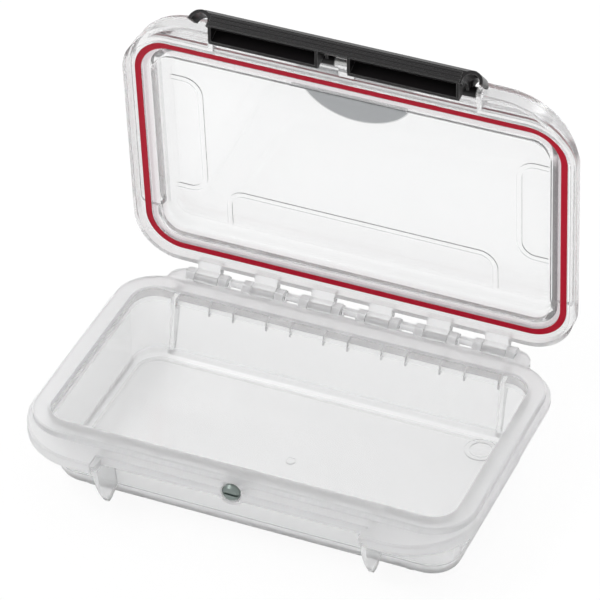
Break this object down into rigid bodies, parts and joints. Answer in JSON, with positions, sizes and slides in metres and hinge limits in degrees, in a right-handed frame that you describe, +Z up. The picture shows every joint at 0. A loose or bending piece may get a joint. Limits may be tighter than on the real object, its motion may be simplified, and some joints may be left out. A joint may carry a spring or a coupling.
{
  "type": "waterproof hard case",
  "caption": "Small clear waterproof hard case, standing open: moulded tub and hinged lid, red gasket in the lid, full-width black latch and a pressure screw in front.",
  "frame": {"origin": "on the table below the middle of the box opening", "axes": "+X to the right seen from the latch side, +Y to the hinge, +Z up"},
  "size_m": [0.2138, 0.1595, 0.1923],
  "materials": {
    "clear_shell": "clear moulded plastic, glossy outside, faintly satin inside",
    "red_gasket": "smooth soft rubber",
    "black_latch": "fine satin",
    "steel_pin": "drawn",
    "clear_pin": "clear moulded plastic",
    "dark_screw": "dark plated",
    "black_seal": "smooth"
  },
  "bodies": {
    "base": {"base_shell": "clear_shell", "screw_seal": "black_seal", "hinge_pin_1": "clear_pin", "hinge_pin_2": "clear_pin", "hinge_pin_3": "clear_pin", "hinge_pin_4": "clear_pin", "hinge_pin_5": "clear_pin", "hinge_pin_6": "clear_pin"},
    "lid": {"lid_shell": "clear_shell", "gasket": "red_gasket", "latch_pin": "steel_pin"},
    "latch": {"latch": "black_latch"},
    "screw": {"pressure_screw": "dark_screw"}
  },
  "joints": [
    {"name": "lid_hinge", "type": "hinge", "parent": "base", "child": "lid", "pos_m": [0, 0.0704, 0.0333], "axis": [1, 0, 0], "range_deg": [0, 85.94]},
    {"name": "latch_pivot", "type": "hinge", "parent": "lid", "child": "latch", "pos_m": [0, 0.06421, 0.17562], "axis": [1, 0, 0], "range_deg": [-15, 75]},
    {"name": "screw_turn", "type": "hinge", "parent": "base", "child": "screw", "pos_m": [0, -0.065, 0.0332], "axis": [0, -1, 0], "range_deg": [0, 360]}
  ]
}
